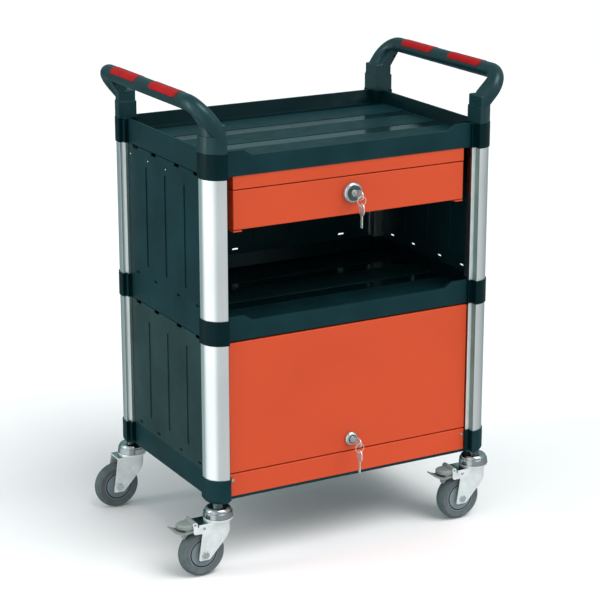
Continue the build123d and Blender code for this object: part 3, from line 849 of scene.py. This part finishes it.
def paint_faces(piece, finish, test=lambda face: True):
    """Gives the faces that pass a test a finish of their own, or every face without one."""
    mesh = piece.data
    mesh.materials.append(FINISH[finish])
    for face in mesh.polygons:
        if test(face):
            face.material_index = len(mesh.materials) - 1


def paint_tray(piece, sizes, sleeves):
    """Polishes a tray's floor between its bands, and paints shade on its inside walls and, if asked, on its
    sleeves, as a smoother, darker plastic.
    """
    points = [vertex.co for vertex in piece.data.vertices]
    deck = max(point.z for point in points) - sizes.deck_depth
    corner_x = max(point.x for point in points) - sizes.sleeve_side
    corner_y = max(point.y for point in points) - sizes.sleeve_side

    def on_floor(face):
        return face.normal.z > LEVEL and abs(face.center.z - deck) < WELD

    def on_sleeve(face):
        return abs(face.center.x) > corner_x and abs(face.center.y) > corner_y

    def on_inner_wall(face):
        is_wall = face.center.z > deck and abs(face.normal.z) < UPRIGHT
        return is_wall and face.normal.xy.dot(face.center.xy) < 0

    paint_faces(piece, "plastic_polished", on_floor)
    if sleeves:
        # Painted shade on the sleeves round the posts, which are also smoother.
        paint_faces(piece, "plastic_smooth_shade", on_sleeve)
    # Painted shade on the inside walls.
    paint_faces(piece, "plastic_smooth_shade", on_inner_wall)


def paint_post(piece, fin):
    """Paints shade on a post's inner side as a dull green-grey, and a highlight on its fin as a pale finish, whose
    face lies so far from the middle.
    """

    def beside_fin(face):
        inward = face.normal.x * math.copysign(1, face.center.x) < -FACING
        return inward and abs(face.center.y) > fin

    def on_fin(face):
        return abs(abs(face.center.y) - fin) < NEAR and abs(face.normal.y) > FACING

    # Painted shade on the inner side.
    paint_faces(piece, "post_recess", beside_fin)
    # Painted highlight on the fin.
    paint_faces(piece, "post_fin", on_fin)


def paint_hub(piece, middle, sizes):
    """Paints shade into the seam between a hub and its tyre."""

    def on_seam(face):
        reach = (face.center - middle).xz.length
        return sizes.seam_inside < reach < sizes.seam_outside

    paint_faces(piece, "hub_seam", on_seam)


# Operators for the trolley
class TROLLEY_OT_finishes(bpy.types.Operator):
    """Make every finish and give it to the nodes."""

    bl_idname = "trolley.finishes"
    bl_label = "Finishes"

    def execute(self, context):
        FINISH.update(finishes(context.scene.trolley_colours))
        for node in NODES:
            dress(node)
        return {"FINISHED"}


class TROLLEY_OT_mouldings(bpy.types.Operator):
    """Make the trays, and the panels with their studs."""

    bl_idname = "trolley.mouldings"
    bl_label = "Trays and panels"

    def execute(self, context):
        sizes = context.scene.trolley_sizes
        for level in ("top", "middle", "bottom"):
            # The sleeves of the top and middle trays get painted shade; the bottom tray's keep the plain plastic.
            paint_tray(soften(f"{level}_tray", sizes.sheet_edge), sizes, level != "bottom")
        for level in ("upper", "lower"):
            soften(f"{level}_back_panel", sizes.sheet_edge)
            for side in SIDES:
                panel = soften(f"{level}_side_panel_{side}", sizes.sheet_edge)
                if level == "lower":
                    # Painted light on the lower side panels.
                    paint_faces(panel, "plastic_lit")
        for side, out in zip(SIDES, (-1, 1)):
            low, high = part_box(f"upper_side_panel_{side}")
            bm = bmesh.new()
            for count in range(sizes.stud_count):
                y = high.y - sizes.stud_inset - count * sizes.stud_pitch
                place = (low.x if out < 0 else high.x, y, high.z - sizes.stud_drop)
                add_button(bm, place, (out, 0, 0), sizes.stud_radius, sizes.stud_rise)
            body = BODY_OF[f"upper_side_panel_{side}"]
            add_piece(f"panel_studs_{side}", bm, "rail_steel", body)
        return {"FINISHED"}


class TROLLEY_OT_posts(bpy.types.Operator):
    """Make the corner posts."""

    bl_idname = "trolley.posts"
    bl_label = "Posts"

    def execute(self, context):
        sizes = context.scene.trolley_sizes
        for level in ("upper", "lower"):
            for corner in CORNERS:
                node = f"{level}_post_{corner}"
                fin = max(abs(end.y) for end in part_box(node)) - sizes.post_recess
                paint_post(soften(node, sizes.sheet_edge), fin)
        return {"FINISHED"}


class TROLLEY_OT_sheet_metal(bpy.types.Operator):
    """Make the drawer, its housing, the flap and the kick strip with its screws."""

    bl_idname = "trolley.sheet_metal"
    bl_label = "Sheet metal"

    def execute(self, context):
        sizes = context.scene.trolley_sizes
        housing = soften("drawer_housing", sizes.sheet_edge)
        low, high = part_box("drawer_housing")
        lip = low.y + sizes.housing_lip
        flank = high.x - sizes.sheet_edge
        # Painted shade: the housing's sides behind the panel slots are dark, and only the front strip keeps its
        # paint.
        divide(housing, (0, lip, 0), (0, 1, 0))
        paint_faces(
            housing,
            "plastic_smooth_shade",
            lambda face: abs(face.center.x) > flank and face.center.y > lip,
        )
        for node in ("drawer_front", "drawer_box", "drawer_rails", "drawer_slides"):
            soften(node, sizes.sheet_edge)
        for node in ("cupboard_door", "door_pivot_pins", "kick_strip"):
            soften(node, sizes.sheet_edge)
        low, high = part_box("kick_strip")
        bm = bmesh.new()
        for x in (low.x + sizes.strip_screw_inset, high.x - sizes.strip_screw_inset):
            place = (x, low.y, high.z - sizes.strip_screw_drop)
            add_screw_head(bm, place, (0, -1, 0), sizes.screw_radius)
        add_piece("kick_strip_screws", bm, "lock_chrome", BODY_OF["kick_strip"])
        return {"FINISHED"}


class TROLLEY_OT_handles(bpy.types.Operator):
    """Make the push handles with their red inserts and their caps."""

    bl_idname = "trolley.handles"
    bl_label = "Handles"

    def execute(self, context):
        sizes = context.scene.trolley_sizes
        for side in SIDES:
            bm = merged_copy(f"handle_{side}")
            tops = [
                edge
                for edge in sharp_edges(bm)
                if edge.is_convex and on_level(edge, sizes.block_top)
            ]
            rounded = round_edges(bm, tops, sizes.block_edge, BLOCK_STEPS)
            others = [edge for edge in sharp_edges(bm) if rounded.isdisjoint(edge.verts)]
            round_edges(bm, others, sizes.moulded_edge)
            handle = replace_node(f"handle_{side}", bm)
            paint_faces(handle, "plastic_handle")
            replace_node(f"grip_inserts_{side}", bent_inserts(f"grip_inserts_{side}", sizes))
            out = math.copysign(sizes.cap_out, middle_of(f"handle_{side}").x)
            bm = bmesh.new()
            for end in (-1, 1):
                place = (out, end * sizes.cap_back, sizes.cap_height)
                add_button(bm, place, (0, -end, 0), sizes.cap_radius, sizes.cap_rise)
            caps = add_piece(f"handle_caps_{side}", bm, "plastic_black", BODY_OF[f"handle_{side}"])
            paint_faces(caps, "hub_seam")
        return {"FINISHED"}


class TROLLEY_OT_locks(bpy.types.Operator):
    """Make the locks and their keys."""

    bl_idname = "trolley.locks"
    bl_label = "Locks and keys"

    def execute(self, context):
        sizes = context.scene.trolley_sizes
        for lock in LOCKS:
            rose = soften(f"{lock}_lock_body", sizes.sheet_edge)
            # Painted dark reflection on the front faces of the rose.
            paint_faces(rose, "lock_face", lambda face: face.normal.y < -LEVEL)
            for part in ("lock_plug", "key", "spare_key"):
                soften(f"{lock}_{part}", sizes.sheet_edge)
        return {"FINISHED"}


class TROLLEY_OT_casters(bpy.types.Operator):
    """Make the casters with their pedals and rivets."""

    bl_idname = "trolley.casters"
    bl_label = "Casters"

    def execute(self, context):
        sizes = context.scene.trolley_sizes
        cup_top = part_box("bottom_tray")[0].z - sizes.neck_height
        for corner in CORNERS:
            mount = soften(f"caster_mount_{corner}", sizes.sheet_edge)
            # Painted shade on the neck under the bottom tray.
            paint_faces(mount, "caster_neck", lambda face: face.center.z > cup_top + WELD)
            axle = soften(f"caster_axle_{corner}", sizes.sheet_edge)
            paint_faces(axle, "lock_chrome")
            fork = soften(f"caster_fork_{corner}", sizes.sheet_edge)
            # Painted dark reflection on the fork's top faces.
            paint_faces(fork, "cup_chrome", lambda face: face.normal.z > FACING)
            hub = soften(f"caster_hub_{corner}", sizes.sheet_edge)
            # Painted shade in the hub's seam.
            paint_hub(hub, middle_of(f"caster_hub_{corner}"), sizes)
            tyre = soften(f"caster_tyre_{corner}", sizes.sheet_edge)
            paint_faces(tyre, "tyre_side", lambda face: abs(face.normal.y) > SIDEWAYS)
        for corner in BRAKED:
            soften(f"brake_pedal_{corner}", sizes.pedal_edge)
            swivel = joint_place(f"swivel_{corner}_turn")
            bm = bmesh.new()
            for side in (-1, 1):
                x = swivel.x - sizes.rivet_back
                y = swivel.y + side * sizes.cheek_reach
                place = (x, y, sizes.rivet_height)
                add_button(bm, place, (0, side, 0), sizes.rivet_radius, sizes.rivet_rise)
            body = BODY_OF[f"caster_fork_{corner}"]
            add_piece(f"brake_rivets_{corner}", bm, "lock_chrome", body)
        return {"FINISHED"}


# Stage
def add_floor(radius):
    """Round pale floor."""
    bm = bmesh.new()
    bmesh.ops.create_circle(bm, cap_ends=True, segments=FLOOR_SIDES, radius=radius)
    mesh = bpy.data.meshes.new("floor")
    bm.to_mesh(mesh)
    bm.free()
    material, tree, shader = new_finish("floor_paint")
    cloud = noise(tree, object_vector(tree), 2.0, 3.0)
    tinted(tree, shader, cloud, (0.94, 0.94, 0.94), 0.99, 1.01)
    shader.inputs["Roughness"].default_value = 0.7
    mesh.materials.append(material)
    floor = bpy.data.objects.new("floor", mesh)
    bpy.context.scene.collection.objects.link(floor)
    floor.visible_glossy = False


def facing(tree, direction):
    """How far the surroundings lie towards a direction, from -1 to 1."""
    place = tree.nodes.new("ShaderNodeTexCoord")
    towards = tree.nodes.new("ShaderNodeVectorMath")
    towards.operation = "DOT_PRODUCT"
    towards.inputs[1].default_value = direction
    tree.links.new(place.outputs["Generated"], towards.inputs[0])
    return towards.outputs["Value"]


def add_up(tree, first, second):
    """Sum of two values."""
    node = tree.nodes.new("ShaderNodeMath")
    tree.links.new(first, node.inputs[0])
    tree.links.new(second, node.inputs[1])
    return node.outputs["Value"]


def add_world(scene):
    """Pale surroundings that give soft light from all sides."""
    world = bpy.data.worlds.new("studio")
    world.use_nodes = True
    tree = world.node_tree
    background = tree.nodes["Background"]
    cast = tree.nodes.new("ShaderNodeMix")
    cast.data_type = "RGBA"
    cast.inputs["A"].default_value = (0.97, 0.98, 1.0, 1.0)
    cast.inputs["B"].default_value = (0.62, 0.97, 1.0, 1.0)
    behind = between(tree, facing(tree, (0.3, 0.95, 0.0)), 0.0, 1.0, 0.3, 0.7)
    tree.links.new(behind, cast.inputs["Factor"])
    tree.links.new(cast.outputs["Result"], background.inputs["Color"])
    left = between(tree, facing(tree, (-0.995, 0.05, 0.0)), 0.0, 0.7, 0.55, 0.77)
    front = between(tree, facing(tree, (0.0, -1.0, 0.0)), 0.2, 0.6, -1.0, 1.0)
    above = between(tree, facing(tree, (0.0, 0.0, 1.0)), 0.0, 0.2, 0.0, 0.3)
    strength = add_up(tree, add_up(tree, left, front), above)
    tree.links.new(strength, background.inputs["Strength"])
    scene.world = world


def aim(thing, place, target):
    """Puts a light or a camera at a place, looking at a target."""
    thing.location = place
    thing.rotation_mode = "QUATERNION"
    thing.rotation_quaternion = (Vector(target) - Vector(place)).to_track_quat("-Z", "Y")
    bpy.context.scene.collection.objects.link(thing)


def add_lights():
    """Broad overhead light and two tall softboxes."""
    middle = (0.0, 0.0, 0.5)
    overhead = bpy.data.lights.new("overhead_light", "SUN")
    overhead.energy = 1.9
    overhead.angle = math.radians(40)
    aim(bpy.data.objects.new("overhead_light", overhead), (2.0, -4.6, 8.6), middle)
    softboxes = (
        ("left_softbox", (-3.6, 0.6, 1.4), 0.7, 2.6, 30.0),
        ("right_softbox", (2.6, -3.4, 1.8), 0.6, 2.4, 10.0),
    )
    for name, place, width, height, power in softboxes:
        data = bpy.data.lights.new(name, "AREA")
        data.shape = "RECTANGLE"
        data.size = width
        data.size_y = height
        data.energy = power
        aim(bpy.data.objects.new(name, data), place, middle)


def add_camera(scene, stage):
    """Camera at the photograph's angle."""
    data = bpy.data.cameras.new("camera")
    data.lens = stage.focal_length
    data.sensor_width = 36.0
    camera = bpy.data.objects.new("camera", data)
    back = Vector(
        (
            math.sin(stage.azimuth) * math.cos(stage.elevation),
            -math.cos(stage.azimuth) * math.cos(stage.elevation),
            math.sin(stage.elevation),
        )
    )
    aim(camera, Vector(stage.target) + back * stage.distance, stage.target)
    scene.camera = camera
    scene.view_settings.view_transform = "Standard"


class TROLLEY_OT_stage(bpy.types.Operator):
    """Set the floor, the light and the camera."""

    bl_idname = "trolley.stage"
    bl_label = "Stage"

    def execute(self, context):
        scene = context.scene
        stage = scene.trolley_stage
        add_floor(stage.floor_radius)
        add_world(scene)
        add_lights()
        add_camera(scene, stage)
        return {"FINISHED"}


# Panel and registration
class TROLLEY_PT_panel(bpy.types.Panel):
    """Lists the trolley's operators and properties."""

    bl_label = "Trolley"
    bl_idname = "TROLLEY_PT_panel"
    bl_space_type = "VIEW_3D"
    bl_region_type = "UI"
    bl_category = "Trolley"

    def draw(self, context):
        for operator in OPERATORS:
            self.layout.operator(operator.bl_idname)
        for name, group in GROUPS.items():
            box = self.layout.box()
            for field in group.__annotations__:
                box.prop(getattr(context.scene, name), field)


OPERATORS = (
    TROLLEY_OT_finishes,
    TROLLEY_OT_mouldings,
    TROLLEY_OT_posts,
    TROLLEY_OT_sheet_metal,
    TROLLEY_OT_handles,
    TROLLEY_OT_locks,
    TROLLEY_OT_casters,
    TROLLEY_OT_stage,
)
GROUPS = {
    "trolley_colours": TrolleyColours,
    "trolley_sizes": TrolleySizes,
    "trolley_stage": TrolleyStage,
}


def register():
    """Adds the properties, the operators and the panel."""
    for name, group in GROUPS.items():
        bpy.utils.register_class(group)
        setattr(bpy.types.Scene, name, bpy.props.PointerProperty(type=group))
    for operator in OPERATORS:
        bpy.utils.register_class(operator)
    bpy.utils.register_class(TROLLEY_PT_panel)


def unregister():
    """Takes them away again."""
    bpy.utils.unregister_class(TROLLEY_PT_panel)
    for operator in reversed(OPERATORS):
        bpy.utils.unregister_class(operator)
    for name, group in reversed(GROUPS.items()):
        delattr(bpy.types.Scene, name)
        bpy.utils.unregister_class(group)


def main():
    """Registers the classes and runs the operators."""
    register()
    bpy.ops.trolley.finishes()
    bpy.ops.trolley.mouldings()
    bpy.ops.trolley.posts()
    bpy.ops.trolley.sheet_metal()
    bpy.ops.trolley.handles()
    bpy.ops.trolley.locks()
    bpy.ops.trolley.casters()
    bpy.ops.trolley.stage()


if __name__ == "__main__":
    main()
